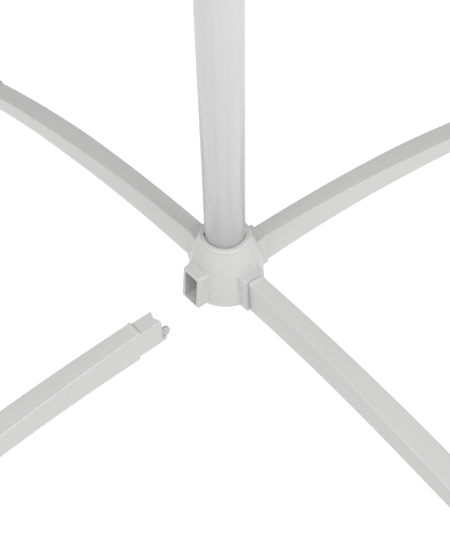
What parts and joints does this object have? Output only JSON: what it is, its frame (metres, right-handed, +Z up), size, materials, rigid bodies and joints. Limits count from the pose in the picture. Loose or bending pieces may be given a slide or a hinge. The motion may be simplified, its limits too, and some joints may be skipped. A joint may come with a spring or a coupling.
{
  "type": "rotary clothesline",
  "caption": "Free-standing rotary clothesline: arched plug-in legs in a bell-shaped hub, a turning mast, folding arms on a sliding ring and a spiral of line.",
  "frame": {"origin": "on the floor under the mast's axis, at the bottom centre of the bounding box", "axes": "+Z up along the mast; the legs and the line arms lie along X and Y; the pulled-out leg lies along -Y"},
  "size_m": [1.5324, 1.5324, 1.5997],
  "materials": {
    "white_plastic": "glossy white moulded plastic",
    "grey_plastic": "satin light grey plastic",
    "foot_rubber": "matte grey rubber",
    "white_lacquer": "glossy white lacquer on steel tube",
    "zinc_steel": "zinc-plated steel",
    "line_vinyl": "white vinyl-coated line"
  },
  "bodies": {
    "base_hub": {"base_hub": "white_plastic"},
    "leg_front_right": {"leg_front_right": "white_plastic", "foot_pad_front_right": "foot_rubber"},
    "leg_back_right": {"leg_back_right": "white_plastic", "foot_pad_back_right": "foot_rubber"},
    "leg_back_left": {"leg_back_left": "white_plastic", "foot_pad_back_left": "foot_rubber"},
    "foot_front_left": {"foot_pad_front_left": "foot_rubber"},
    "leg_front_left": {"leg_front_left": "white_plastic"},
    "latch_front_right": {"leg_latch_front_right": "grey_plastic"},
    "latch_back_right": {"leg_latch_back_right": "grey_plastic"},
    "latch_back_left": {"leg_latch_back_left": "grey_plastic"},
    "latch_front_left": {"leg_latch_front_left": "grey_plastic"},
    "mast": {"mast_foot_plug": "grey_plastic", "spindle_washer": "zinc_steel", "spindle_screw": "zinc_steel", "mast_lower": "white_lacquer", "mast_upper": "white_lacquer", "mast_collar": "grey_plastic", "collar_screw_front": "zinc_steel", "collar_screw_back": "zinc_steel", "top_cap": "white_plastic", "stay_pin_east": "zinc_steel", "stay_pin_north": "zinc_steel", "stay_pin_west": "zinc_steel", "stay_pin_south": "zinc_steel", "clothes_line": "line_vinyl"},
    "ring": {"slide_ring": "white_plastic", "arm_pin_east": "zinc_steel", "arm_pin_north": "zinc_steel", "arm_pin_west": "zinc_steel", "arm_pin_south": "zinc_steel"},
    "ring_button": {"ring_button": "grey_plastic"},
    "arm_east": {"arm_east": "white_lacquer", "arm_tip_east": "grey_plastic", "line_knot_inner": "line_vinyl"},
    "stay_east": {"stay_east": "zinc_steel"},
    "arm_north": {"arm_north": "white_lacquer", "arm_tip_north": "grey_plastic"},
    "stay_north": {"stay_north": "zinc_steel"},
    "arm_west": {"arm_west": "white_lacquer", "arm_tip_west": "grey_plastic"},
    "stay_west": {"stay_west": "zinc_steel"},
    "arm_south": {"arm_south": "white_lacquer", "arm_tip_south": "grey_plastic", "line_knot_outer": "line_vinyl"},
    "stay_south": {"stay_south": "zinc_steel"}
  },
  "joints": [
    {"name": "leg_front_right_pull", "type": "slide", "parent": "base_hub", "child": "leg_front_right", "axis": [1, 0, 0], "range_m": [0, 0.1]},
    {"name": "leg_back_right_pull", "type": "slide", "parent": "base_hub", "child": "leg_back_right", "axis": [0, 1, 0], "range_m": [0, 0.1]},
    {"name": "leg_back_left_pull", "type": "slide", "parent": "base_hub", "child": "leg_back_left", "axis": [-1, 0, 0], "range_m": [0, 0.1]},
    {"name": "leg_front_left_pull", "type": "slide", "parent": "base_hub", "child": "foot_front_left", "axis": [0.0908, -0.9959, 0], "range_m": [-0.07712, 0.015]},
    {"name": "leg_front_left_tilt", "type": "hinge", "parent": "foot_front_left", "child": "leg_front_left", "pos_m": [0.007, -0.5668, 0.012], "axis": [1, 0, 0], "range_deg": [-0.36, 1.49]},
    {"name": "latch_front_right_press", "type": "hinge", "parent": "leg_front_right", "child": "latch_front_right", "pos_m": [0.054, 0.0024, 0.086], "axis": [0, 0, 1], "range_deg": [0, 6], "stiffness_Nm_per_rad": 0.4},
    {"name": "latch_back_right_press", "type": "hinge", "parent": "leg_back_right", "child": "latch_back_right", "pos_m": [-0.0024, 0.054, 0.086], "axis": [0, 0, 1], "range_deg": [0, 6], "stiffness_Nm_per_rad": 0.4},
    {"name": "latch_back_left_press", "type": "hinge", "parent": "leg_back_left", "child": "latch_back_left", "pos_m": [-0.054, -0.0024, 0.086], "axis": [0, 0, 1], "range_deg": [0, 6], "stiffness_Nm_per_rad": 0.4},
    {"name": "latch_front_left_press", "type": "hinge", "parent": "leg_front_left", "child": "latch_front_left", "pos_m": [0.0094, -0.12902, 0.07464], "axis": [0, 0.026, 0.9997], "range_deg": [0, 6], "stiffness_Nm_per_rad": 0.4},
    {"name": "mast_spin", "type": "hinge", "parent": "base_hub", "child": "mast", "pos_m": [0, 0, 0], "axis": [0, 0, 1], "continuous": true},
    {"name": "head_fold", "type": "slide", "parent": "mast", "child": "ring", "axis": [0, 0, 1], "range_m": [-0.38344, 0], "deforming": ["clothes_line"]},
    {"name": "ring_button_pull", "type": "slide", "parent": "ring", "child": "ring_button", "axis": [0.7071, -0.7071, 0], "range_m": [0, 0.004], "stiffness_N_per_m": 400},
    {"name": "arm_east_fold", "type": "hinge", "parent": "ring", "child": "arm_east", "pos_m": [0.034, 0, 1.39541], "axis": [0, -1, 0], "range_deg": [0, 70.01]},
    {"name": "stay_east_fold", "type": "hinge", "parent": "mast", "child": "stay_east", "pos_m": [0.034, 0, 1.53], "axis": [0, 1, 0], "range_deg": [0, 70.01]},
    {"name": "arm_north_fold", "type": "hinge", "parent": "ring", "child": "arm_north", "pos_m": [0, 0.034, 1.39541], "axis": [1, 0, 0], "range_deg": [0, 70.01]},
    {"name": "stay_north_fold", "type": "hinge", "parent": "mast", "child": "stay_north", "pos_m": [0, 0.034, 1.53], "axis": [-1, 0, 0], "range_deg": [0, 70.01]},
    {"name": "arm_west_fold", "type": "hinge", "parent": "ring", "child": "arm_west", "pos_m": [-0.034, 0, 1.39541], "axis": [0, 1, 0], "range_deg": [0, 70.01]},
    {"name": "stay_west_fold", "type": "hinge", "parent": "mast", "child": "stay_west", "pos_m": [-0.034, 0, 1.53], "axis": [0, -1, 0], "range_deg": [0, 70.01]},
    {"name": "arm_south_fold", "type": "hinge", "parent": "ring", "child": "arm_south", "pos_m": [0, -0.034, 1.39541], "axis": [-1, 0, 0], "range_deg": [0, 70.01]},
    {"name": "stay_south_fold", "type": "hinge", "parent": "mast", "child": "stay_south", "pos_m": [0, -0.034, 1.53], "axis": [1, 0, 0], "range_deg": [0, 70.01]}
  ],
  "couplings": [
    {"joint": "leg_front_left_tilt", "follows": "leg_front_left_pull", "rad_per_m": -0.33703},
    {"joint": "arm_east_fold", "follows": "head_fold", "rad_per_m": -3.1863},
    {"joint": "stay_east_fold", "follows": "head_fold", "rad_per_m": -3.1863},
    {"joint": "arm_north_fold", "follows": "head_fold", "rad_per_m": -3.1863},
    {"joint": "stay_north_fold", "follows": "head_fold", "rad_per_m": -3.1863},
    {"joint": "arm_west_fold", "follows": "head_fold", "rad_per_m": -3.1863},
    {"joint": "stay_west_fold", "follows": "head_fold", "rad_per_m": -3.1863},
    {"joint": "arm_south_fold", "follows": "head_fold", "rad_per_m": -3.1863},
    {"joint": "stay_south_fold", "follows": "head_fold", "rad_per_m": -3.1863}
  ]
}
